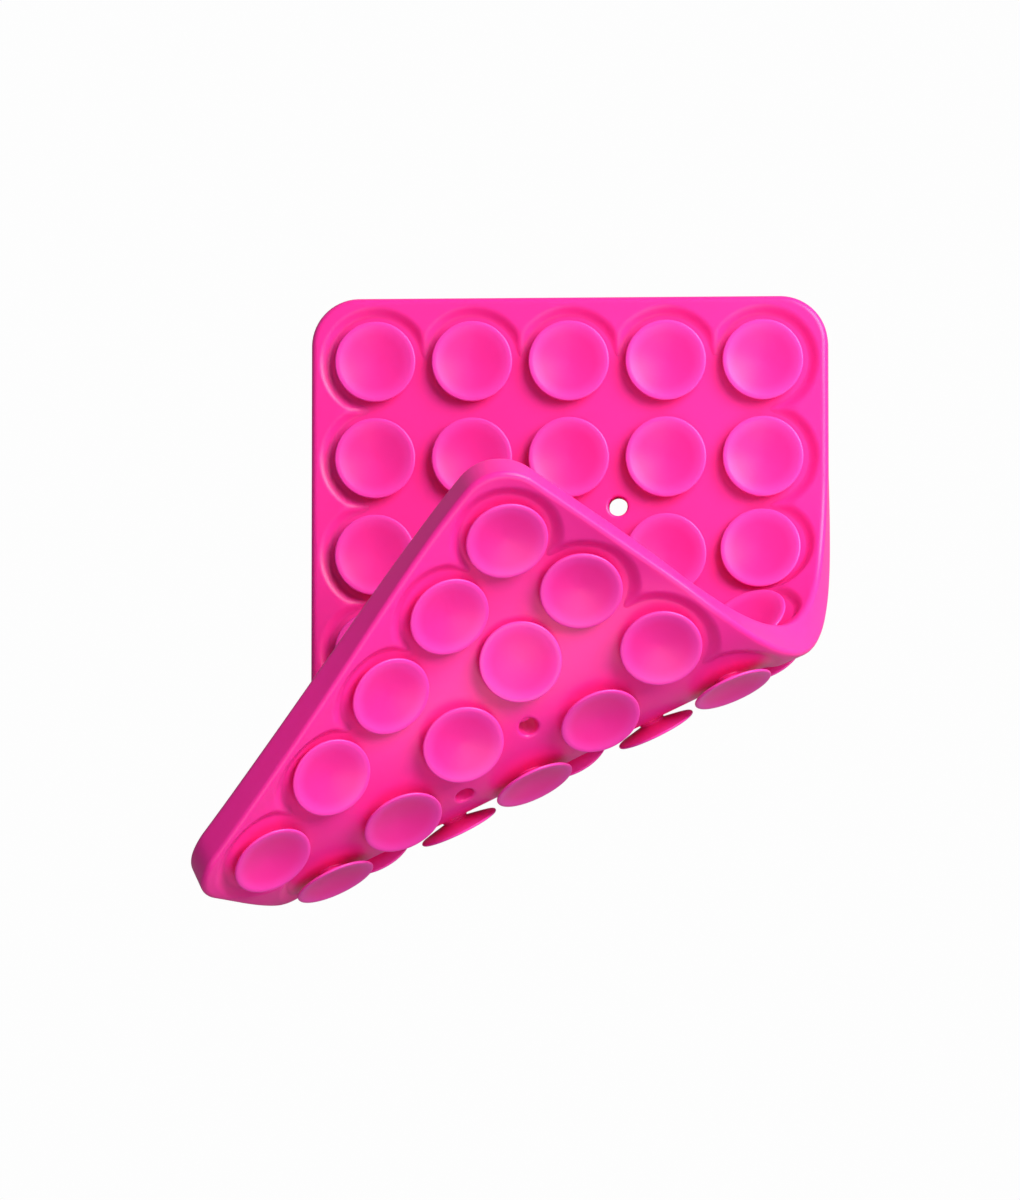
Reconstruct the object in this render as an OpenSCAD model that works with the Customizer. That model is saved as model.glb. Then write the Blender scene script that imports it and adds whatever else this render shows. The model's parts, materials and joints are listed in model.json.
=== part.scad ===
// Double-sided suction mat that holds a phone to a smooth surface.
// One moulding of soft silicone: a web, a scalloped rim and a field of suction cups on each face.
// The lower part is folded up and over along a diagonal, as it is when the mat is shown or peeled off.
// The web's mid-plane is z = 0, and the origin lies midway between the two cord holes of the flat panel.

/* [Mat] */
// Columns of cups across the mat
cup_columns = 5; // [3:2:7]
// Rows of cups along the mat
cup_rows = 8; // [8:1:12]
// Gap between the lips of neighbouring cups
cup_gap = 2.2; // [1.8:0.1:4]
// Radius of the mat's corners, seen from above
corner_r = 6.5; // [3:0.1:8]
// Thickness of the web between the two fields of cups
web_t = 2.6; // [1:0.1:3]

/* [Rims] */
// Height of each rim above the web
rim_h = 1.1; // [1:0.1:1.8]
// Width of the rim where a scallop comes nearest to the mat's edge
rim_w = 1.4; // [1:0.1:3]
// Rounding of the rim's outer edge
rim_edge_r = 0.9; // [0.2:0.1:1]
// Clear room between a border cup's lip and the scallop that the rim leaves round it
cup_room = 1.9; // [1.4:0.1:2.4]

/* [Cups] */
// Radius of a cup's lip
lip_r = 5.5; // [4.5:0.1:7]
// Height of a cup's lip above the web
cup_h = 2.1; // [2:0.1:3]
// Thickness of the lip at its edge
lip_t = 0.4; // [0.2:0.1:0.5]
// Width of the flat sealing land on the lip
lip_land = 0.4; // [0.2:0.1:0.8]
// Depth of the bowl inside the cup
bowl_depth = 1.2; // [0.8:0.1:1.3]
// Radius of the rounded bottom of the bowl
bowl_floor_r = 0.8; // [0.4:0.1:1.5]
// Radius of the stem that carries the cup
stem_r = 1.7; // [1.2:0.1:2.2]
// Radius of the fillet where the stem meets the web
foot_r = 0.4; // [0.2:0.1:0.5]

/* [Cord holes] */
// Radius of the four holes through the web
hole_r = 1.3; // [0.8:0.1:1.8]
// Columns of cups between the middle of the mat and each hole
hole_columns = 0.5; // [0.5:1:1.5]
// Rows of cups between each end row and the holes
hole_rows = 1.5; // [1.5:1:2.5]

/* [Fold] */
// Whole angle through which the mat is folded over
fold_angle = 147; // [90:1:150]
// Clearance between the strips where they turn on each other
crease_gap = 0.2; // [0.1:0.05:0.3]

/* [Hidden] */
$fn = 48;

// Distance between the centres of neighbouring cups
cup_pitch = 2 * lip_r + cup_gap;
scallop_r = lip_r + cup_room;
// Distance from the outer cups' centres to the mat's edge
edge_margin = scallop_r + rim_w;
mat_w = (cup_columns - 1) * cup_pitch + 2 * edge_margin;
mat_l = (cup_rows - 1) * cup_pitch + 2 * edge_margin;
half_web = web_t / 2;
rim_top = half_web + rim_h;
hole_x = hole_columns * cup_pitch;
hole_y = ((cup_rows - 1) / 2 - hole_rows) * cup_pitch;
// Cuts run this far past the faces that they open
overrun = 1;
// Steps in the rounding of the rim's outer edge
edge_steps = 4;

// The cups lie in lines that climb one row in every two columns, and the creases run between those lines.
// Line 0 passes through the middle of the mat, and the numbers grow towards the end that is folded over.
// The first crease's place is a share of the step between two lines.
crease_dir = [2, 1, 0] / sqrt(5);
crease_slant = atan2(crease_dir.y, crease_dir.x);
line_step = cup_pitch / sqrt(5);
first_crease_share = -1.5;
// Share of the whole fold angle that each crease takes: the bend starts gently where it leaves the panel
turn_shares = [0.09, 0.14, 0.15, 0.157, 0.157, 0.157, 0.149];
crease_count = len(turn_shares);

front = 1;
back = -1;

function cup_line(i, j) = (i - (cup_columns - 1) / 2) + 2 * (j - (cup_rows - 1) / 2);
function cup_x(i) = (i - (cup_columns - 1) / 2) * cup_pitch;
function cup_y(j) = ((cup_rows - 1) / 2 - j) * cup_pitch;
function crease_line(k) = first_crease_share + k - 1;
function crease_at(k) = crease_line(k) * line_step;
function crease_turn(k) = fold_angle * turn_shares[k - 1];
// Strip 0 is the flat panel, strips 1 to crease_count - 1 make the bend, and the last strip is the flap
function strip_of(i, j) =
    let (past = cup_line(i, j) - first_crease_share)
    past < 0 ? 0 : min(crease_count, floor(past) + 1);

// Turns what follows about crease k, so that the side past the crease rises off the panel
module turn_at_crease(k) {
    across = [crease_dir.y, -crease_dir.x, 0];
    translate(across * crease_at(k))
        rotate(a = -crease_turn(k), v = crease_dir)
            translate(-across * crease_at(k))
                children();
}

// Carries a strip from the flat mat to its place in the fold
module fold_up(strip) {
    if (strip == 0) {
        translate([0, -hole_y, 0]) children();
    } else {
        fold_up(strip - 1) turn_at_crease(strip) children();
    }
}

// Long bar that holds all of the mat between two neighbouring creases.
// Its front is mitred, so that folded strips meet there, and its back is square, so that flat ones do.
module strip_bar(strip) {
    reach = mat_w + mat_l;
    near = strip == 0 ? -reach : crease_at(strip) + crease_gap / 2;
    far = strip == crease_count ? reach : crease_at(strip + 1) - crease_gap / 2;
    cut_h = rim_top + overrun;
    near_lean = strip == 0 ? 0 : cut_h * tan(crease_turn(strip) / 2);
    far_lean = strip == crease_count ? 0 : cut_h * tan(crease_turn(strip + 1) / 2);
    rotate([0, 0, crease_slant])
        rotate([90, 0, 90])
            linear_extrude(height = 2 * reach, center = true)
                polygon([
                    [-near, -cut_h], [-near, 0], [-near - near_lean, cut_h],
                    [-far + far_lean, cut_h], [-far, 0], [-far, -cut_h]
                ]);
}

module rounded_sheet(w, l, r, h) {
    linear_extrude(height = h) {
        square([w - 2 * r, l], center = true);
        square([w, l - 2 * r], center = true);
        for (sx = [-1, 1], sy = [-1, 1])
            translate([sx * (w / 2 - r), sy * (l / 2 - r)])
                circle(r);
    }
}

module cord_holes() {
    for (sx = [-1, 1], sy = [-1, 1])
        translate([sx * hole_x, sy * hole_y, -half_web - overrun])
            cylinder(r = hole_r, h = web_t + 2 * overrun);
}

module flat_web() {
    difference() {
        translate([0, 0, -half_web]) rounded_sheet(mat_w, mat_l, corner_r, web_t);
        cord_holes();
    }
}

// Section through the rim: the outer face at x = 0, its rounded top edge, and the top running inwards
function rim_section() = concat(
    [[corner_r, 0], [0, 0]],
    [for (n = [0 : edge_steps])
        let (a = 90 * n / edge_steps)
        [rim_edge_r * (1 - cos(a)), rim_h - rim_edge_r * (1 - sin(a))]],
    [[corner_r, rim_h]]
);

// The section carried round the mat: a bar along each side and a quarter turn at each corner
module rim_band() {
    for (turn = [0, 180]) {
        rotate([0, 0, turn]) {
            rim_bar(mat_w / 2, mat_l - 2 * corner_r);
            rotate([0, 0, 90]) rim_bar(mat_l / 2, mat_w - 2 * corner_r);
            rim_corner(mat_w / 2, mat_l / 2, 0);
            rim_corner(-mat_w / 2, mat_l / 2, 90);
        }
    }
}

module rim_bar(out, length) {
    translate([out, 0, 0])
        rotate([90, 0, 0])
            linear_extrude(height = length, center = true)
                mirror([1, 0]) polygon(rim_section());
}

module rim_corner(out_x, out_y, start) {
    translate([out_x - sign(out_x) * corner_r, out_y - corner_r, 0])
        rotate([0, 0, start])
            rotate_extrude(angle = 90)
                polygon([for (p = rim_section()) [corner_r - p.x, p.y]]);
}

module flat_rim() {
    difference() {
        rim_band();
        translate([0, 0, -overrun])
            linear_extrude(height = rim_h + 2 * overrun) recess_outline();
    }
}

// Outline of the sunken field: a circle round each border cup, joined across the middle
module recess_outline() {
    square([(cup_columns - 1) * cup_pitch, (cup_rows - 1) * cup_pitch], center = true);
    for (i = [0 : cup_columns - 1], j = [0 : cup_rows - 1])
        if (i == 0 || i == cup_columns - 1 || j == 0 || j == cup_rows - 1)
            translate([cup_x(i), cup_y(j)])
                circle(scallop_r);
}

// One suction cup, standing on z = 0: fillet, stem, flared bell and the bowl inside it
module suction_cup() {
    seal_r = lip_r - lip_land;
    bell_base = cup_h - bowl_depth;
    arc_steps = 4;
    foot = [for (n = [0 : arc_steps])
        let (a = 90 * n / arc_steps)
        [stem_r + foot_r - foot_r * sin(a), foot_r - foot_r * cos(a)]];
    bowl_slope = atan2(bowl_depth, seal_r);
    bowl_bottom = [for (n = [0 : arc_steps])
        let (a = bowl_slope * (1 - n / arc_steps))
        [bowl_floor_r * sin(a) / sin(bowl_slope),
         cup_h - bowl_depth * (1 - bowl_floor_r / seal_r)
            - bowl_floor_r * (cos(a) - cos(bowl_slope)) / sin(bowl_slope)]];
    rotate_extrude()
        polygon(concat(
            [[0, 0]],
            foot,
            [[stem_r, bell_base - lip_t], [lip_r, cup_h - lip_t], [lip_r, cup_h], [seal_r, cup_h]],
            bowl_bottom
        ));
}

module cups_of(strip) {
    for (i = [0 : cup_columns - 1], j = [0 : cup_rows - 1])
        if (strip_of(i, j) == strip)
            translate([cup_x(i), cup_y(j), half_web])
                suction_cup();
}

module web(strip) {
    color("#ff3a9f")
        fold_up(strip)
            intersection() {
                flat_web();
                strip_bar(strip);
            }
}

module rim(strip, side) {
    color("#ff4bb0")
        fold_up(strip)
            intersection() {
                mirror([0, 0, side == back ? 1 : 0])
                    translate([0, 0, half_web]) flat_rim();
                strip_bar(strip);
            }
}

module cups(strip, side) {
    color("#ff48a8")
        fold_up(strip)
            mirror([0, 0, side == back ? 1 : 0])
                cups_of(strip);
}

web(0);  // panel_web
rim(0, front);  // panel_front_rim
rim(0, back);  // panel_back_rim
cups(0, front);  // panel_front_cups
cups(0, back);  // panel_back_cups
web(1);  // fold_1_web
rim(1, front);  // fold_1_front_rim
rim(1, back);  // fold_1_back_rim
cups(1, front);  // fold_1_front_cups
cups(1, back);  // fold_1_back_cups
web(2);  // fold_2_web
rim(2, front);  // fold_2_front_rim
rim(2, back);  // fold_2_back_rim
cups(2, front);  // fold_2_front_cups
cups(2, back);  // fold_2_back_cups
web(3);  // fold_3_web
rim(3, front);  // fold_3_front_rim
rim(3, back);  // fold_3_back_rim
cups(3, front);  // fold_3_front_cups
cups(3, back);  // fold_3_back_cups
web(4);  // fold_4_web
rim(4, front);  // fold_4_front_rim
rim(4, back);  // fold_4_back_rim
cups(4, front);  // fold_4_front_cups
cups(4, back);  // fold_4_back_cups
web(5);  // fold_5_web
rim(5, front);  // fold_5_front_rim
rim(5, back);  // fold_5_back_rim
cups(5, front);  // fold_5_front_cups
cups(5, back);  // fold_5_back_cups
web(6);  // fold_6_web
rim(6, front);  // fold_6_front_rim
rim(6, back);  // fold_6_back_rim
cups(6, front);  // fold_6_front_cups
cups(6, back);  // fold_6_back_cups
web(7);  // flap_web
rim(7, front);  // flap_front_rim
rim(7, back);  // flap_back_rim
cups(7, front);  // flap_front_cups
cups(7, back);  // flap_back_cups
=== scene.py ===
# %% [markdown]
# # A suction mat of pink silicone, folded over
#
# The real object is one moulding of soft silicone: a web with suction cups on both faces and a raised,
# scalloped rim round each face. It lies flat at the upper right, and its lower left part is folded up and over.
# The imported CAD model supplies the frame: eight rigid bodies hinged along seven creases.
# This script dresses them in one smooth skin. It could have used the CAD solids as they are, but those meet in
# straight facets, and soft silicone bends in a curve.

# %% Load the frame and note its size
import json
import math

import bpy
import numpy as np
from mathutils import Matrix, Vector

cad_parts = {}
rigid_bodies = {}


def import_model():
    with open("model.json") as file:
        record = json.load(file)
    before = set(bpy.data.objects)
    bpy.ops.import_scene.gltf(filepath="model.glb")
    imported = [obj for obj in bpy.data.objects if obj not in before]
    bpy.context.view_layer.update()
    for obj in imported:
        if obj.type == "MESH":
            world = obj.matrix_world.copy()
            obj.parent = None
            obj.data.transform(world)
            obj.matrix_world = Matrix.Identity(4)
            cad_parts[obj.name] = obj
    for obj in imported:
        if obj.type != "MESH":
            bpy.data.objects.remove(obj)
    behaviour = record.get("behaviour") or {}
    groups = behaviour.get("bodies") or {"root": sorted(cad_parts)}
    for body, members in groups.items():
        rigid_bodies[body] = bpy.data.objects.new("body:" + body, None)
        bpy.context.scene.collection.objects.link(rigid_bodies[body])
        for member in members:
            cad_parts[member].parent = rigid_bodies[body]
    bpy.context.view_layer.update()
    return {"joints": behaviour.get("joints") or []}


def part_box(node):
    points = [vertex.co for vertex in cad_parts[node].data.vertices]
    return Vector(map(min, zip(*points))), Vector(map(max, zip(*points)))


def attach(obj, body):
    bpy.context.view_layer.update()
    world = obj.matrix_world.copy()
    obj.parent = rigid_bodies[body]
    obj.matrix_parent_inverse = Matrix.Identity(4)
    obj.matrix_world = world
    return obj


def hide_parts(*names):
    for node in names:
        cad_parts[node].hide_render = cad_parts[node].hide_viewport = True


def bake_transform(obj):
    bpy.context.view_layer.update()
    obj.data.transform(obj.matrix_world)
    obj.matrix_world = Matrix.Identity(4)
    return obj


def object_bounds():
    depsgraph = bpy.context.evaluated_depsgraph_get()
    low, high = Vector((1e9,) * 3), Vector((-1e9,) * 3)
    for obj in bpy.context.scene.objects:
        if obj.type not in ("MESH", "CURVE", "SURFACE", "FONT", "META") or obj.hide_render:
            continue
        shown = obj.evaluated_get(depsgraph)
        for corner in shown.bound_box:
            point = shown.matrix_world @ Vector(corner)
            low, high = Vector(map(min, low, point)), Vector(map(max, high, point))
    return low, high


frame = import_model()
MM = 0.001

# %% [markdown]
# ## The sizes of the mat
#
# Whatever the frame can tell is measured on it, so that the skin stays true to the CAD model.
# The hinges give the creases' direction, their turns and the spacing of the lines of cups: a line climbs one
# row in every two columns, so two lines lie one cup pitch divided by the root of five apart.
# One height departs from the solids: in the photograph the recess round the cups is lit almost like the rim, so
# the skin's web stands 0.4 mm proud of the solid one and the rim's inner wall is a soft, low slope.
# All shapes below are first made flat, about the mat's own centre, with the web's mid-plane at z = 0.

# %% Read the creases from the hinges, and the sizes from the solids
joints = frame["joints"]
crease_points = np.array([j["pos_m"] for j in joints])
along = np.array(joints[0]["axis"], float)
across = np.cross(along, (0.0, 0.0, 1.0))
turns = np.radians([j["range_deg"][1] for j in joints])
line_step = float(np.linalg.norm(crease_points[1] - crease_points[0]))
pitch = line_step * math.sqrt(5)
print("creases %d, spacing %.2f mm, cup pitch %.2f mm" % (len(joints), line_step / MM, pitch / MM))

COLUMNS, ROWS = 5, 8
panel_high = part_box("panel_web")[1]
half_width = panel_high.x
margin = half_width - (COLUMNS - 1) / 2 * pitch
half_length = (ROWS - 1) / 2 * pitch + margin
centre = np.array([0.0, panel_high.y - half_length, 0.0])
WEB_PROUD = 0.4 * MM
half_web = panel_high.z + WEB_PROUD
rim_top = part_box("panel_front_rim")[1].z
lip_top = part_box("panel_front_cups")[1].z
print("flat %.1f by %.1f mm, lips %.1f mm above the mid-plane"
      % (2 * half_width / MM, 2 * half_length / MM, lip_top / MM))

# %% [markdown]
# ## Laying the flat mat into its fold
#
# Half-way between two creases lies a line of cups, and there the skin stays square to its rigid body.
# From one such midline to the next the skin follows a circular arc, tangent to both, so it is smooth.
# A photograph of a real fold also shows that it isn't quite even. Towards the two ends of the bend nothing
# holds the mat down, so each line turns a little less there, by an amount that grows with the square of
# the distance along the crease. The flap isn't quite flat either: it curls on a little past the
# last crease and then straightens.

# %% Fold: where a point of the flat mat comes to lie
LOSS_FROM = 2.0 * MM
LOSS_REACH = 20 * MM
# A line that hardly turns is taken to turn this much, in radians, so that its radius stays finite
LEAST_BEND = 1e-5
# What each line turns more than its hinge, the last four past the last hinge, on the flap
MORE_TURNS = np.radians([-2.3, -1.4, 0.0, 1.9, 4.7, 0.6, -0.2, 10.7, -11.5, -5.6, -0.4])
# How much less each line turns at the reach to the left and to the right of the middle of the bend
LEFT_LOSS = np.radians([-1.1, 0.4, 0.4, 0.0, 0.8, 2.1, 2.3, 1.4, 1.0, 1.8, 2.8])
RIGHT_LOSS = np.radians([-0.8, 0.7, 1.3, 1.3, 1.3, 1.8, 1.9, 1.1, -0.3, -1.8, -3.2])
crease_at = (crease_points[0] - centre) @ across
all_turns = np.append(turns, np.zeros(4)) + MORE_TURNS
line_ends = crease_at + (np.arange(len(all_turns) + 1) - 0.5) * line_step
seams = line_ends[:len(turns) + 1]


def folded(flat):
    """Places flat points (x, y, z) in the row frame.

    p and q are the distances along and across the creases. A line turns by b = turn - loss ((p - p0) / reach)^2.
    Past the first seam the mid-plane runs on arcs of radius R = (step / 2) / tan(b / 2) about C = start + R n,
    where n(t) = (-sin t, cos t) is its normal, and a point at height z lies at C - (R - z) n(t + b (q - start) / step).
    """
    p, q, z = flat[:, :2] @ along[:2], flat[:, :2] @ across[:2], flat[:, 2]
    normal = lambda t: np.stack([-np.sin(t), np.cos(t)], -1)
    past = (p - LOSS_FROM) / LOSS_REACH
    place = np.stack([q, z], -1)
    start = np.tile([seams[0], 0.0], (len(q), 1))
    heading = np.zeros(len(q))
    for line, turn, left, right in zip(line_ends, all_turns, LEFT_LOSS, RIGHT_LOSS):
        bend = turn - left * np.minimum(past, 0) ** 2 - right * np.maximum(past, 0) ** 2
        bend = np.where(np.abs(bend) < LEAST_BEND, LEAST_BEND, bend)
        radius = line_step / 2 / np.tan(bend / 2)
        hub = start + radius[:, None] * normal(heading)
        now = heading + bend * (q - line) / line_step
        place = np.where((q > line)[:, None], hub - (radius - z)[:, None] * normal(now), place)
        heading = heading + bend
        start = hub - radius[:, None] * normal(heading)
    forward = np.stack([np.cos(heading), np.sin(heading)], -1)
    beyond = start + (q - line_ends[-1])[:, None] * forward + z[:, None] * normal(heading)
    place = np.where((q > line_ends[-1])[:, None], beyond, place)
    up = np.array([0.0, 0.0, 1.0])
    return centre + p[:, None] * along + place[:, :1] * across + place[:, 1:] * up


tip = folded(np.array([[half_width, -half_length, 0.0]]))[0]
print("the flap's tip comes to lie at", (tip / MM).round(1), "mm")

# %% [markdown]
# ## Helpers for surfaces
#
# Every surface here is a grid of points computed with whole arrays, and its faces follow from the grid.
# Modelling by hand could give the same shapes, but a formula keeps the scallops and the cups exact.

# %% Grid faces, arcs and joining
def grid_faces(rows, columns, closed=False):
    """Two triangles for each cell of a grid of rows x columns points; closed joins the last column to the first."""
    r, c = np.meshgrid(np.arange(rows - 1), np.arange(columns if closed else columns - 1), indexing="ij")
    nxt = (c + 1) % columns
    a, b = r * columns + c, r * columns + nxt
    d, e = (r + 1) * columns + c, (r + 1) * columns + nxt
    return np.concatenate([np.stack([a, b, e], -1).reshape(-1, 3), np.stack([a, e, d], -1).reshape(-1, 3)])


def arc(across_at, up_at, radius, start, end, count):
    """Points (across + r cos a, up + r sin a) for a from start to end, in degrees."""
    a = np.radians(np.linspace(start, end, count))
    return np.column_stack([across_at + radius * np.cos(a), up_at + radius * np.sin(a)])


def at_height(points, z):
    """Flat points (x, y) lifted to the height z."""
    return np.column_stack([points, np.full(len(points), z)])


def joined(parts):
    """Puts (points, triangles) pairs together into one pair."""
    offsets = np.cumsum([0] + [len(points) for points, tris in parts])
    tris = [t + offset for (points, t), offset in zip(parts, offsets)]
    return np.concatenate([points for points, t in parts]), np.concatenate(tris)


def welded(points, tris, tolerance=1e-7):
    """Makes points that lie together one point, and drops triangles that this leaves without area."""
    grid = np.round(points / tolerance).astype(np.int64)
    first, back = np.unique(grid, axis=0, return_index=True, return_inverse=True)[1:]
    tris = back.reshape(-1)[tris]
    whole = (tris[:, 0] != tris[:, 1]) & (tris[:, 1] != tris[:, 2]) & (tris[:, 2] != tris[:, 0])
    return points[first], tris[whole]


print("a 3 by 4 grid has", len(grid_faces(3, 4)), "triangles")

# %% [markdown]
# ## The rim
#
# The rim is the mat's frame: it runs round each face, its inner edge is a scallop round every border cup, and its
# outer face is the mat's side. Its section is one curve from the front recess over the front rim, down the side and
# back into the rear recess, and this curve is carried once round the mat.
# Soft mouldings have no sharp edges, so every turn of the section has its own small radius.

# %% The section of the rim
CORNER_R = 6.5 * MM
SCALLOP_R = 7.0 * MM
SLOPE_W = 1.7 * MM
OUTER_R = 0.8 * MM
SLOPE_STEPS = 12
TOP_STEPS = 5
WALL_STEPS = 3
OUTER_STEPS = 6

# The inner wall is a soft slope z = web + (rim - web) (1 - cos(pi t)) / 2 over its width
t = np.linspace(0, 1, SLOPE_STEPS)
inner = np.column_stack([SCALLOP_R + SLOPE_W * (t - 0.5),
                         half_web + (rim_top - half_web) * (1 - np.cos(math.pi * t)) / 2])
outer = arc(-OUTER_R, rim_top - OUTER_R, OUTER_R, 90, 0, OUTER_STEPS)
# Each level of the section: its share of the outer curve, scallop radius, distance inside the outline, height
levels = [(0.0, r, OUTER_R, z) for r, z in inner]
levels += [(s, inner[-1, 0], OUTER_R, rim_top) for s in np.linspace(0, 1, TOP_STEPS + 2)[1:-1]]
levels += [(1.0, SCALLOP_R, -o, z) for o, z in outer]
wall = np.linspace(rim_top - OUTER_R, OUTER_R - rim_top, WALL_STEPS + 2)[1:-1]
section = levels + [(1.0, SCALLOP_R, 0.0, z) for z in wall] + [(s, r, e, -z) for s, r, e, z in levels[::-1]]
print("the section has", len(section), "levels")

# %% Carry the section round the mat
CUSP_SOFTNESS = 0.45 * MM
ALONG_STEP = 0.4 * MM
CORNER_STEPS = 24
corner_turn = np.linspace(0, math.pi / 2, CORNER_STEPS)
half_rows, half_columns = (ROWS - 1) / 2 * pitch, (COLUMNS - 1) / 2 * pitch
# Each side: outward normal, direction of travel, half its line of cups, distance of that line from the centre
SIDES = [((1, 0), (0, 1), half_rows, half_columns, ROWS), ((0, 1), (-1, 0), half_columns, half_rows, COLUMNS),
         ((-1, 0), (0, -1), half_rows, half_columns, ROWS), ((0, -1), (1, 0), half_columns, half_rows, COLUMNS)]


def scalloped(place, cups_at, radius):
    """Soft maximum over the cups of sqrt(r^2 - (a - c)^2): how far the recess reaches past their line."""
    reach = np.sqrt(np.maximum(radius ** 2 - (place[:, None] - cups_at[None, :]) ** 2, 0))
    return CUSP_SOFTNESS * np.log(np.exp(reach / CUSP_SOFTNESS).sum(1))


def corner_reach(inset):
    """Distance from the corner cup to the outline, moved in by inset, in the directions corner_turn.

    It is (m - e) / cos(t) or (m - e) / sin(t) on the straight sides. On the corner's arc, about h = (g, g), it is
    u.h + sqrt((u.h)^2 - h.h + (r - e)^2), where u = (cos t, sin t).
    """
    c, s = np.cos(corner_turn), np.sin(corner_turn)
    straight = (margin - inset) / np.maximum(c, s)
    hub = margin - CORNER_R
    on_arc = hub * (c + s)
    root = np.maximum(on_arc ** 2 - 2 * hub ** 2 + (CORNER_R - inset) ** 2, 0)
    on_side = straight * np.minimum(c, s) <= hub
    return np.where(on_side, straight, on_arc + np.sqrt(root))


def ring(share, radius, inset):
    """One level round the mat: share 0 lies on the scallops, share 1 on the outline."""
    points = []
    for normal, travel, half, out, cups in SIDES:
        normal, travel = np.array(normal, float), np.array(travel, float)
        count = int(round(2 * half / ALONG_STEP))
        place = np.linspace(-half, half, count + 1)[1:-1]
        reach = (1 - share) * scalloped(place, np.linspace(-half, half, cups), radius) + share * (margin - inset)
        points.append((out + reach)[:, None] * normal + place[:, None] * travel)
        reach = (1 - share) * radius + share * corner_reach(inset)
        ray = np.cos(corner_turn)[:, None] * normal + np.sin(corner_turn)[:, None] * travel
        points.append(normal * out + travel * half + reach[:, None] * ray)
    return np.concatenate(points)


rings = [at_height(ring(s, r, e), z) for s, r, e, z in section]
rim_points = np.concatenate(rings)
rim_tris = grid_faces(len(section), len(rings[0]), closed=True)[:, ::-1]
print("rim:", len(rim_points), "points,", len(rim_tris), "triangles")

# %% [markdown]
# ## The web and the cord holes
#
# Inside the rim lies the web, one sheet on each face. It runs on a little way under the rim, so no gap can
# show. Four small holes go through it. A grid can't hold a round hole, so a square window is left
# open in it, and a short tube closes the window: from the square border in to the circle, through the web, and
# out again to the other face's window. Its edge is rounded like all the others.

# %% Two sheets with square windows
HOLE_R = 1.3 * MM
WINDOW = 1.8 * MM
WINDOW_CELLS = 6
UNDER_RIM = 0.9 * MM
CELL = 0.6 * MM
hole_x, hole_y = 0.5 * pitch, 2 * pitch


def lines(stops, windows):
    """Grid lines between the stops, CELL apart at most; each window takes WINDOW_CELLS cells."""
    out = [np.array([stops[0]])]
    for n, (a, b) in enumerate(zip(stops[:-1], stops[1:])):
        count = WINDOW_CELLS if n in windows else int(math.ceil((b - a) / CELL))
        out.append(np.linspace(a, b, count + 1)[1:])
    return np.concatenate(out)


edge_x, edge_y = half_width - UNDER_RIM, half_length - UNDER_RIM
bend_x = half_width - CORNER_R
grid_x = lines([-edge_x, -bend_x, -hole_x - WINDOW, -hole_x + WINDOW,
                hole_x - WINDOW, hole_x + WINDOW, bend_x, edge_x], (2, 4))
grid_y = lines([-edge_y, -hole_y - WINDOW, -hole_y + WINDOW, hole_y - WINDOW, hole_y + WINDOW, edge_y], (1, 3))
past_bend = np.maximum(np.abs(grid_x) - bend_x, 0)
top_y = half_length - CORNER_R + np.sqrt(np.maximum((CORNER_R - UNDER_RIM) ** 2 - past_bend ** 2, 0))
sheet = np.stack([np.broadcast_to(grid_x, (len(grid_y), len(grid_x))),
                  grid_y[:, None] / edge_y * top_y[None, :]], -1).reshape(-1, 2)
sheet_tris = grid_faces(len(grid_y), len(grid_x))
middle = sheet[sheet_tris].mean(1)
in_window = (np.abs(np.abs(middle[:, 0]) - hole_x) < WINDOW) & (np.abs(np.abs(middle[:, 1]) - hole_y) < WINDOW)
sheet_tris = sheet_tris[~in_window]
front_sheet = at_height(sheet, half_web)
back_sheet = front_sheet * [1, 1, -1]
print("web:", len(sheet_tris), "triangles a side")

# %% A tube for each hole
EDGE_R = 0.35 * MM
EDGE_STEPS = 4
step = np.linspace(-WINDOW, WINDOW, WINDOW_CELLS + 1)[:-1]
flat_side = np.full(WINDOW_CELLS, WINDOW)
square = np.concatenate([np.stack([step, -flat_side], -1), np.stack([flat_side, step], -1),
                         np.stack([-step, flat_side], -1), np.stack([-flat_side, -step], -1)])
round_way = square / np.linalg.norm(square, axis=1)[:, None]
# On the face the square border narrows half-way to the circle, then the edge is rounded down into the hole
half_tube = [at_height((1 - t) * square + t * (HOLE_R + EDGE_R) * round_way, half_web) for t in (0.0, 0.5)]
half_tube += [at_height(r * round_way, z)
              for r, z in arc(HOLE_R + EDGE_R, half_web - EDGE_R, EDGE_R, 90, 180, EDGE_STEPS)]
tube_rings = half_tube + [ring_points * [1, 1, -1] for ring_points in half_tube[::-1]]
tube = np.concatenate(tube_rings)
tube_tris = grid_faces(len(tube_rings), len(square), closed=True)
holes = [(tube + [sx * hole_x, sy * hole_y, 0], tube_tris) for sx in (-1, 1) for sy in (-1, 1)]
print("holes:", len(holes), "of", len(tube_tris), "triangles")
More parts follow.
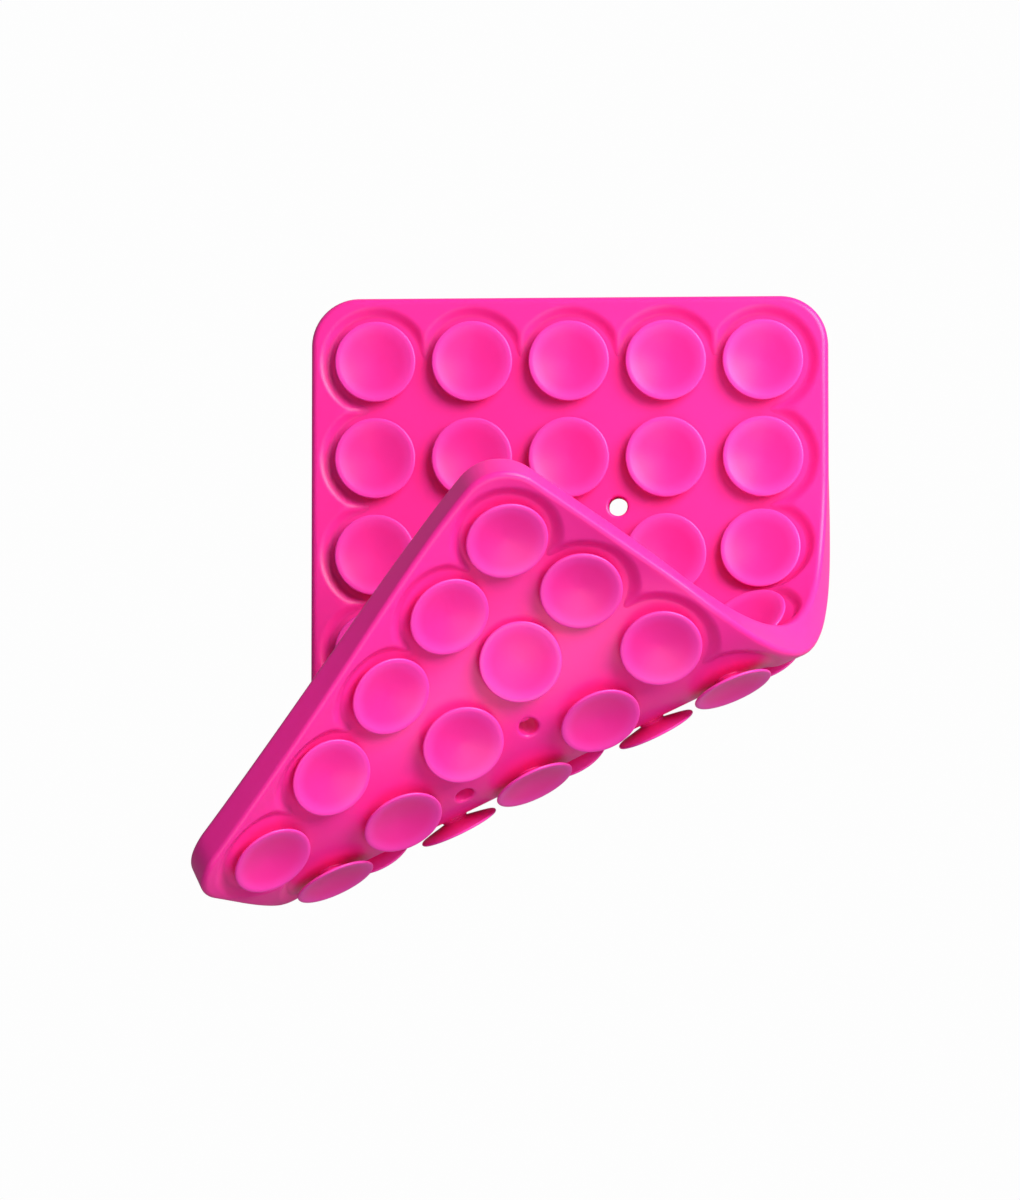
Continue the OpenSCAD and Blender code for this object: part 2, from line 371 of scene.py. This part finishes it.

# %% [markdown]
# ## One skin, cut at the midlines
#
# The rim, the sheets and the holes make one skin. A piece can bend across one joint only, so the skin is
# cut exactly at the midlines between the creases: the part before the first one rides on the
# panel, the part after the last one on the flap, and each part between two midlines stays where the fold lays it:
# its blend between two bodies is worked out but not used. So that nothing would tear when the mat is laid open,
# both sides of a seam would have to follow the same body there.
# The part at the third crease is made otherwise: it is parted at its crease into two rigid halves, and the nearer
# one reaches on a little way inside the farther one, like a tongue, which closes the gap when the mat opens. A
# blend would be smoother, but in the open pose that one blend came out 13 mm from its place.
# Normals are worked out on the whole skin before it is cut, so that no cut shows in the shading.

# %% Cutting and normals
def cut(points, tris, value):
    """Splits the triangles that cross value = 0: a corner alone on its side gives one triangle, the rest two.

    The new points lie at a + (b - a) va / (va - vb) on the crossed edges.
    """
    over = value[tris] >= 0
    count = over.sum(1)
    crossed = (count == 1) | (count == 2)
    lone = np.argmax(over == (count == 1)[:, None], axis=1)[crossed]
    t = tris[crossed]
    pick = np.arange(len(t))
    a, b, c = t[pick, lone], t[pick, (lone + 1) % 3], t[pick, (lone + 2) % 3]
    way = lambda u, v: points[u] + (points[v] - points[u]) * (value[u] / (value[u] - value[v]))[:, None]
    p, q = len(points) + pick, len(points) + len(t) + pick
    new = np.concatenate([np.stack([a, p, q], -1), np.stack([p, b, c], -1), np.stack([p, c, q], -1)])
    return np.concatenate([points, way(a, b), way(a, c)]), np.concatenate([tris[~crossed], new])


def corner_normals(points, tris):
    """Unit normals at the points, each the sum of its triangles' area vectors."""
    a, b, c = (points[tris[:, n]] for n in range(3))
    face = np.cross(b - a, c - a)
    total = np.zeros_like(points)
    for n in range(3):
        np.add.at(total, tris[:, n], face)
    return total / np.maximum(np.linalg.norm(total, axis=1), 1e-20)[:, None]


one_triangle = np.eye(3), np.array([[0, 1, 2]])
print("one triangle, cut once, gives", len(cut(*one_triangle, np.array([-1.0, 1.0, 1.0]))[1]), "triangles")

# %% Cut the skin and work out its normals
# The third crease isn't blended: there two halves overlap in a hidden tongue
SPLIT = 3
TONGUE = 1.3 * MM
TONGUE_START = 0.1 * MM
TONGUE_DIP, TONGUE_NARROWS = 0.11, 0.012
TONGUE_SHARE_AT_START = 0.25
# A point nearer to a seam than this counts as lying on it
SNAP = 0.001 * MM
split_at = crease_at + (SPLIT - 1) * line_step
skin, skin_tris = joined([(rim_points, rim_tris), (front_sheet, sheet_tris), (back_sheet, sheet_tris[:, ::-1])]
                         + holes)
skin, skin_tris = welded(skin, skin_tris)
for seam in np.append(seams, (split_at, split_at + TONGUE_START, split_at + TONGUE)):
    offset = skin[:, :2] @ across[:2] - seam
    offset[np.abs(offset) < SNAP] = 0
    skin, skin_tris = welded(*cut(skin, skin_tris, offset))
skin_placed = folded(skin)
skin_normals = corner_normals(skin_placed, skin_tris)
skin_region = np.searchsorted(seams, (skin[skin_tris].mean(1)[:, :2] @ across[:2]))
print("skin:", len(skin_tris), "triangles in", skin_region.max() + 1, "regions")

# %% [markdown]
# ## Making the pieces
#
# A mesh is filled straight from arrays. Each point also keeps its place on the flat mat as an attribute, so that a
# finish can follow the material and doesn't swim when the mat bends. A second attribute tells how near a
# point is to a thin edge, where silicone lets more light through; that light is painted on as a paler colour.

# %% Build a mesh object from arrays
def build(name, points, tris, normals, flat, thin):
    """A smooth mesh of the used points, with normals, flat places and thinness, the painted edge glow's mask."""
    used, back = np.unique(tris, return_inverse=True)
    mesh = bpy.data.meshes.new(name)
    mesh.from_pydata(points[used].tolist(), [], back.reshape(-1, 3).tolist())
    mesh.polygons.foreach_set("use_smooth", np.ones(len(mesh.polygons), bool))
    mesh.normals_split_custom_set_from_vertices(normals[used].tolist())
    place = mesh.attributes.new("flat_place", "FLOAT_VECTOR", "POINT")
    place.data.foreach_set("vector", flat[used].astype(np.float32).ravel())
    # The mask for the painted glow of light through thin edges
    edge = mesh.attributes.new("thin_edge_glow", "FLOAT", "POINT")
    edge.data.foreach_set("value", thin[used].astype(np.float32))
    mesh.update()
    piece = bpy.data.objects.new(name, mesh)
    bpy.context.scene.collection.objects.link(piece)
    return piece


def blend_line(first_seam, second_seam):
    """Start and end of a blend that leave one seam wholly to the first body and the other wholly to the second.

    f(x) = g.x + c is fitted to 0 on the first seam and 1 on the second. The start lies where f is the largest
    value on the first seam, the end where it is the smallest on the second, both along g.
    """
    points = np.concatenate([first_seam, second_seam])
    wanted = np.repeat([0.0, 1.0], [len(first_seam), len(second_seam)])
    fitted = np.linalg.lstsq(np.column_stack([points, np.ones(len(points))]), wanted, rcond=None)[0]
    g, c = fitted[:3], fitted[3]
    low, high = (first_seam @ g + c).max(), (second_seam @ g + c).min()
    middle = points.mean(0)
    return [middle + g * (value - middle @ g - c) / (g @ g) for value in (low, high)]


print("mesh and blend helpers ready")

# %% Make the pieces of the skin
skin_q = skin[:, :2] @ across[:2]
bodies = [joints[0]["parent"]] + [j["child"] for j in joints]
pieces = []
# The tongue lies inside the surfaces that cover it: it loses a share of its height and of its width
past_split = skin_q - split_at
rising = np.clip(TONGUE_SHARE_AT_START + (1 - TONGUE_SHARE_AT_START) * past_split / TONGUE, 0, 1)
tuck = np.where(past_split > TONGUE_START / 2, rising, 0)[:, None]
sideways = (skin[:, :2] @ along[:2])[:, None] * along * TONGUE_NARROWS
near_placed = folded(skin * (1 - tuck * [0, 0, TONGUE_DIP]) - tuck * sideways)
seam_points = [skin_placed[np.abs(skin_q - seam) < 2 * SNAP] for seam in seams]
# The skin gets none of the painted glow at thin edges
no_edge_glow = np.zeros(len(skin))
for region in range(len(seams) + 1):
    tris = skin_tris[skin_region == region]
    if region == 0:
        piece = build("skin_panel", skin_placed, tris, skin_normals, skin, no_edge_glow)
        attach(piece, bodies[0])
        stands_for = bodies[0]
    elif region == len(seams):
        piece = build("skin_flap", skin_placed, tris, skin_normals, skin, no_edge_glow)
        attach(piece, bodies[-1])
        stands_for = bodies[-1]
    elif region == SPLIT:
        middle_q = skin[tris].mean(1)[:, :2] @ across[:2]
        near = build("skin_split_near", near_placed, tris[middle_q < split_at + TONGUE], skin_normals, skin, no_edge_glow)
        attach(near, bodies[region - 1])
        pieces.append(near)
        piece = build("skin_split_far", skin_placed, tris[middle_q > split_at], skin_normals, skin, no_edge_glow)
        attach(piece, bodies[region])
        stands_for = bodies[region]
    else:
        piece = build("skin_bend_%d" % region, skin_placed, tris, skin_normals, skin, no_edge_glow)
        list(blend_line(seam_points[region - 1], seam_points[region]))
        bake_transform(piece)
        stands_for = bodies[region] if region < len(joints) else None
    if stands_for:
        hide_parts(stands_for + "_web", stands_for + "_front_rim", stands_for + "_back_rim")
    pieces.append(piece)
    print(piece.name, len(tris), "triangles")

# %% [markdown]
# ## The suction cups
#
# Each cup is a thin flared bell on a short stem, with a shallow bowl and a softly rounded crest that seals against
# the phone or the wall. It is round, so one profile turned about its axis makes it. A bowl cut from a
# sphere would be simpler, but the photograph's bowls are flat in the middle and steepest next to the crest.
# Its stem starts a little inside the web, so that it still meets the skin where that is bent.
# A cup is too stiff at its stem to follow the bend, so each one rides on its own strip.

# %% The profile of a cup
LIP_R = 5.5 * MM
LIP_EDGE_R = 0.18 * MM
CREST_R = 1.6 * MM
CREST_IN, CREST_OUT = 15, 5
BOWL_POWER = 1.6
STEM_R = 1.7 * MM
STEM_FOOT_R = 0.4 * MM
LIP_T = 0.4 * MM
SINK = 0.35 * MM
EDGE_FROM = -70
ROUND_STEPS, BOWL_STEPS = 72, 15
FOOT_STEPS, UNDER_STEPS, LIP_STEPS, CREST_STEPS = 5, 7, 8, 10

lip_h = lip_top - half_web
# The lip's crest is an arc that leans in towards the bowl by one angle and out towards the edge by another
lean_out, lean_in = math.radians(CREST_OUT), math.radians(CREST_IN)
crest_at = LIP_R - LIP_EDGE_R - (CREST_R - LIP_EDGE_R) * math.sin(lean_out)
edge_h = lip_h - CREST_R + (CREST_R - LIP_EDGE_R) * math.cos(lean_out)
bowl_r = crest_at - CREST_R * math.sin(lean_in)
bowl_top = lip_h - CREST_R * (1 - math.cos(lean_in))
bowl_depth = math.tan(lean_in) * bowl_r / BOWL_POWER
bell_base = bowl_top - bowl_depth - LIP_T
foot = arc(STEM_R + STEM_FOOT_R, STEM_FOOT_R, STEM_FOOT_R, -90, -180, FOOT_STEPS)
under = np.column_stack([np.linspace(STEM_R, LIP_R - LIP_EDGE_R, UNDER_STEPS + 2)[1:-1],
                         np.linspace(bell_base, edge_h - LIP_T / 2, UNDER_STEPS + 2)[1:-1]])
lip = np.concatenate([arc(LIP_R - LIP_EDGE_R, edge_h, LIP_EDGE_R, EDGE_FROM, 90 - CREST_OUT, LIP_STEPS),
                      arc(crest_at, lip_h - CREST_R, CREST_R, 90 - CREST_OUT, 90 + CREST_IN, CREST_STEPS)[1:]])
# The bowl's height above its floor grows with a power of the radius, so it is flat in the middle and steep at the crest
share = np.linspace(1, 0, BOWL_STEPS + 1)[1:]
bowl = np.column_stack([bowl_r * share, bowl_top - bowl_depth * (1 - share ** BOWL_POWER)])
profile = np.concatenate([[[0.0, -SINK], [STEM_R + STEM_FOOT_R, -SINK]], foot, [[STEM_R, bell_base]],
                          under, lip, bowl])
print("profile of", len(profile), "points, bowl %.2f mm deep" % ((lip_h - bowl_top + bowl_depth) / MM))


# %% Turn the profile
# Between these shares of the lip's radius the painted glow of light through the thin lip rises from none to full
THIN_FROM, THIN_TO = 0.66, 0.88


def turned(curve, steps):
    """The curve turned about the z axis: (r cos a, r sin a, z) for each profile point and each angle a."""
    a = np.linspace(0, 2 * math.pi, steps, endpoint=False)
    r, z = curve[:, :1], curve[:, 1:]
    points = np.stack([r * np.cos(a), r * np.sin(a), z + 0 * a], -1).reshape(-1, 3)
    return points, grid_faces(len(curve), steps, closed=True)


# Both ends of the profile lie on the axis, where welding closes the cup
cup, cup_tris = welded(*turned(profile, ROUND_STEPS))
cup_normals = corner_normals(cup, cup_tris)
# How near each point is to the lip's thin edge: the mask for its painted glow
cup_edge_glow = np.clip((np.hypot(cup[:, 0], cup[:, 1]) / LIP_R - THIN_FROM) / (THIN_TO - THIN_FROM), 0, 1)
print("a cup has", len(cup), "points and", len(cup_tris), "triangles")

# %% Set a cup on each place of both faces
def local_axes(place):
    """The skin's own directions at a flat place: two unit tangents and the normal between them."""
    h = 0.1 * MM
    at = folded(place + h * np.array([(0, 0, 0), (1, 0, 0), (-1, 0, 0), (0, 1, 0), (0, -1, 0)]))
    x, y = at[1] - at[2], at[3] - at[4]
    n = np.cross(x, y)
    n /= np.linalg.norm(n)
    x /= np.linalg.norm(x)
    return at[0], np.array([x, np.cross(n, x), n])


places = [((i - (COLUMNS - 1) / 2) * pitch, ((ROWS - 1) / 2 - j) * pitch)
          for i in range(COLUMNS) for j in range(ROWS)]
strip_of = [int(np.clip(math.floor((x * across[0] + y * across[1] - crease_at) / line_step) + 1, 0, len(joints)))
            for x, y in places]
for number, body in enumerate(bodies):
    for side, word in ((1, "front"), (-1, "back")):
        parts, normals, flats = [], [], []
        for (x, y), strip in zip(places, strip_of):
            if strip != number:
                continue
            at, axes = local_axes(np.array([x, y, 0.0]))
            flip = np.array([1, 1, side])
            shape = (cup + [0, 0, half_web]) * flip
            parts.append((at + shape @ axes, cup_tris[:, ::side]))
            normals.append((cup_normals * flip) @ axes)
            flats.append(shape + [x, y, 0])
        points, tris = joined(parts)
        thin = np.tile(cup_edge_glow, len(parts))
        piece = build("%s_cups_%s" % (body, word), points, tris, np.concatenate(normals), np.concatenate(flats), thin)
        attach(piece, body)
        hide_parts("%s_%s_cups" % (body, word))
        pieces.append(piece)

# %% [markdown]
# ## A language for shader sums
#
# A finish is a sum of patterns. Wiring each sum by hand hides it, so a small class wraps a socket and lets it be
# added and multiplied like a number. Anything that isn't a sum goes through one method that adds any node.

# %% Wrap a socket
class Wire:
    """A socket of a node tree on which + and * make Math nodes."""

    def __init__(self, tree, socket):
        self.tree, self.socket = tree, socket

    @staticmethod
    def plug(tree, target, value):
        """Links a Wire to the target socket, or sets the socket to a number or a colour."""
        if isinstance(value, Wire):
            tree.links.new(value.socket, target)
        else:
            target.default_value = value

    @staticmethod
    def node(tree, kind, inputs=None, out=0, **settings):
        """Adds any node, settings first; inputs maps a socket's name or number to a Wire or a constant."""
        made = tree.nodes.new(kind)
        for key, value in settings.items():
            setattr(made, key, value)
        for key, value in (inputs or {}).items():
            Wire.plug(tree, made.inputs[key], value)
        return Wire(tree, made.outputs[out])

    def sum_with(self, operation, a, b):
        """A Math node of this operation on a and b."""
        return Wire.node(self.tree, "ShaderNodeMath", {0: a, 1: b}, operation=operation)

    def __add__(self, other): return self.sum_with("ADD", self, other)
    def __radd__(self, other): return self.sum_with("ADD", other, self)
    def __mul__(self, other): return self.sum_with("MULTIPLY", self, other)
    def __rmul__(self, other): return self.sum_with("MULTIPLY", other, self)


def mixed(tree, share, a, b):
    """The colour that lies a share of the way from a to b. A Mix node's colours are sockets 6 and 7, its result 2."""
    return Wire.node(tree, "ShaderNodeMix", {0: share, 6: a, 7: b}, out=2, data_type="RGBA")


print("shader sums ready")

# %% [markdown]
# ## The silicone
#
# Moulded silicone is coloured right through, has a satin surface and lets light a little way in, which softens
# its shadows and lifts the colour at thin edges. A soft scattering under the surface does the first. The second
# shows as a paler ring on every cup, equally bright on all sides, so it isn't a gleam: it is a painted glow, a
# paler colour at the thin edges that stands for the light coming through them.
# The surface isn't perfect: it has a very slow variation in colour and sheen and a fine grain from the mould, both
# taken from the place on the flat mat.

# %% Make the silicone
PINK = (1.0, 0.028, 0.33, 1.0)
# Paler pink painted at thin edges for the light that silicone lets through them
EDGE_GLOW_PINK = (1.0, 0.052, 0.435, 1.0)
DEEP_PINK = (0.98, 0.024, 0.31, 1.0)
CLOUD_SCALE, GRAIN_SCALE = 55.0, 2600.0
# How far the thin edges are mixed towards that painted glow
EDGE_GLOW_STRENGTH = 0.9
ROUGHNESS, CLOUD_ROUGHNESS, GRAIN_ROUGHNESS = 0.30, 0.08, 0.04
GRAIN_DEPTH = 0.02 * MM

silicone = bpy.data.materials.new("silicone")
silicone.use_nodes = True
tree = silicone.node_tree
shader = tree.nodes["Principled BSDF"]
flat_place = Wire.node(tree, "ShaderNodeAttribute", out="Vector", attribute_name="flat_place")
# Mask for the painted glow at thin edges
thin_edge_glow = Wire.node(tree, "ShaderNodeAttribute", out="Fac", attribute_name="thin_edge_glow")
cloud = Wire.node(tree, "ShaderNodeTexNoise", {"Vector": flat_place, "Scale": CLOUD_SCALE, "Detail": 3.0}, out=0)
grain = Wire.node(tree, "ShaderNodeTexNoise", {"Vector": flat_place, "Scale": GRAIN_SCALE, "Detail": 2.0}, out=0)
body_colour = mixed(tree, cloud, DEEP_PINK, PINK)
# Painted glow: near thin edges the colour is mixed towards the paler pink that stands for light let through
colour = mixed(tree, thin_edge_glow * EDGE_GLOW_STRENGTH, body_colour, EDGE_GLOW_PINK)
Wire.plug(tree, shader.inputs["Base Color"], colour)
Wire.plug(tree, shader.inputs["Roughness"], ROUGHNESS + cloud * CLOUD_ROUGHNESS + grain * GRAIN_ROUGHNESS)
bump = Wire.node(tree, "ShaderNodeBump", {"Height": grain, "Distance": GRAIN_DEPTH, "Strength": 0.25}, out=0)
Wire.plug(tree, shader.inputs["Normal"], bump)
shader.inputs["IOR"].default_value = 1.41
shader.inputs["Specular IOR Level"].default_value = 0.52
shader.inputs["Subsurface Weight"].default_value = 0.2
shader.inputs["Subsurface Radius"].default_value = (1.0, 0.5, 0.8)
shader.inputs["Subsurface Scale"].default_value = 1.2 * MM
for piece in pieces:
    piece.data.materials.append(silicone)
print("silicone on", len(pieces), "pieces")

# %% [markdown]
# ## The studio
#
# The photograph shows the mat cut out on pure white, with next to no shadow on it. The floor is a plain sheet. To
# the camera it is white: Light Path tells camera rays apart. To the mat it is grey, because light thrown back by
# white paper made the undersides paler than in the photograph.
# A wide soft lamp stands low at the upper right. The cups' shadows fall to the lower left of them, dark at the
# lip and slowly paler outwards, which tells how wide the lamp is. A weaker lamp fills in from the picture's lower
# right, and a faint purplish surround tints the shadows as in the photograph.

# %% Floor and surround
FLOOR_HALF = 2.0
PAPER_GREY = 0.30
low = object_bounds()[0]
floor_mesh = bpy.data.meshes.new("floor")
corners = [(x * FLOOR_HALF, y * FLOOR_HALF, low.z) for x, y in ((-1, -1), (1, -1), (1, 1), (-1, 1))]
floor_mesh.from_pydata(corners, [], [(0, 1, 2, 3)])
floor = bpy.data.objects.new("floor", floor_mesh)
bpy.context.scene.collection.objects.link(floor)
paper = bpy.data.materials.new("paper")
paper.use_nodes = True
tree = paper.node_tree
shader = tree.nodes["Principled BSDF"]
shader.inputs["Base Color"].default_value = (PAPER_GREY, PAPER_GREY, PAPER_GREY, 1.0)
shader.inputs["Roughness"].default_value = 0.9
white = Wire.node(tree, "ShaderNodeEmission", {"Color": (1.0, 1.0, 1.0, 1.0), "Strength": 0.985})
seen = Wire.node(tree, "ShaderNodeLightPath", out="Is Camera Ray")
both = Wire.node(tree, "ShaderNodeMixShader", {0: seen, 1: Wire(tree, shader.outputs[0]), 2: white})
Wire.plug(tree, tree.nodes["Material Output"].inputs["Surface"], both)
floor_mesh.materials.append(paper)

world = bpy.data.worlds.new("surround")
bpy.context.scene.world = world
world.use_nodes = True
sky = world.node_tree.nodes["Background"]
sky.inputs["Color"].default_value = (0.84, 0.56, 1.0, 1.0)
sky.inputs["Strength"].default_value = 0.26
print("floor at %.2f mm" % (low.z / MM))


# %% Lamps
def lamp(name, place, target, size, power):
    """A square area lamp at place that faces target."""
    data = bpy.data.lights.new(name, "AREA")
    data.shape = "SQUARE"
    data.size = size
    data.energy = power
    made = bpy.data.objects.new(name, data)
    back = np.array(place, float) - np.array(target, float)
    back /= np.linalg.norm(back)
    side = np.cross((0.0, 1.0, 0.0), back)
    side /= np.linalg.norm(side)
    up = np.cross(back, side)
    made.matrix_world = Matrix([[side[n], up[n], back[n], place[n]] for n in range(3)] + [[0, 0, 0, 1]])
    bpy.context.scene.collection.objects.link(made)


lamp("key", place=(0.306, 0.213, 0.315), target=centre, size=0.34, power=3.7)
lamp("fill", place=(0.24, -0.50, 0.72), target=centre, size=0.60, power=2.3)
print("lamps: key and fill")

# %% [markdown]
# ## The camera
#
# The photograph was taken from almost straight above. Fitting the centres of the visible cups gives the tilt, a
# little from the right and from below, and how many pixels one millimetre takes. The cups on the raised
# flap look larger than those on the panel by as much as a camera about a metre away shows them, so it
# stands there with a long lens.

# %% Camera
PHOTO_W, PHOTO_H = 1020, 1200
PIXELS_PER_MM = 7.354
TILT = math.radians(-4.30)
PAN = math.radians(-3.64)
# Where the flat mat's centre lies in the photograph, and how far away the lens is, in metres
CENTRE_PX = (570.2, 701.0)
DISTANCE = 1.0
SENSOR = 36.0

view_turn = Matrix.Rotation(TILT, 3, "X") @ Matrix.Rotation(PAN, 3, "Y")
turn_back = np.array(view_turn.transposed())
eye = np.array([-(CENTRE_PX[0] - PHOTO_W / 2) / PIXELS_PER_MM * MM,
                (CENTRE_PX[1] - PHOTO_H / 2) / PIXELS_PER_MM * MM, DISTANCE])
camera_data = bpy.data.cameras.new("camera")
camera_data.sensor_fit = "HORIZONTAL"
camera_data.sensor_width = SENSOR
camera_data.lens = PIXELS_PER_MM * DISTANCE / MM * SENSOR / PHOTO_W
camera = bpy.data.objects.new("camera", camera_data)
at = centre + turn_back @ eye
camera.matrix_world = Matrix([[*turn_back[n], at[n]] for n in range(3)] + [[0, 0, 0, 1]])
bpy.context.scene.collection.objects.link(camera)
bpy.context.scene.camera = camera
bpy.context.scene.view_settings.view_transform = "Standard"
print("lens %.0f mm at" % camera_data.lens, at.round(3))
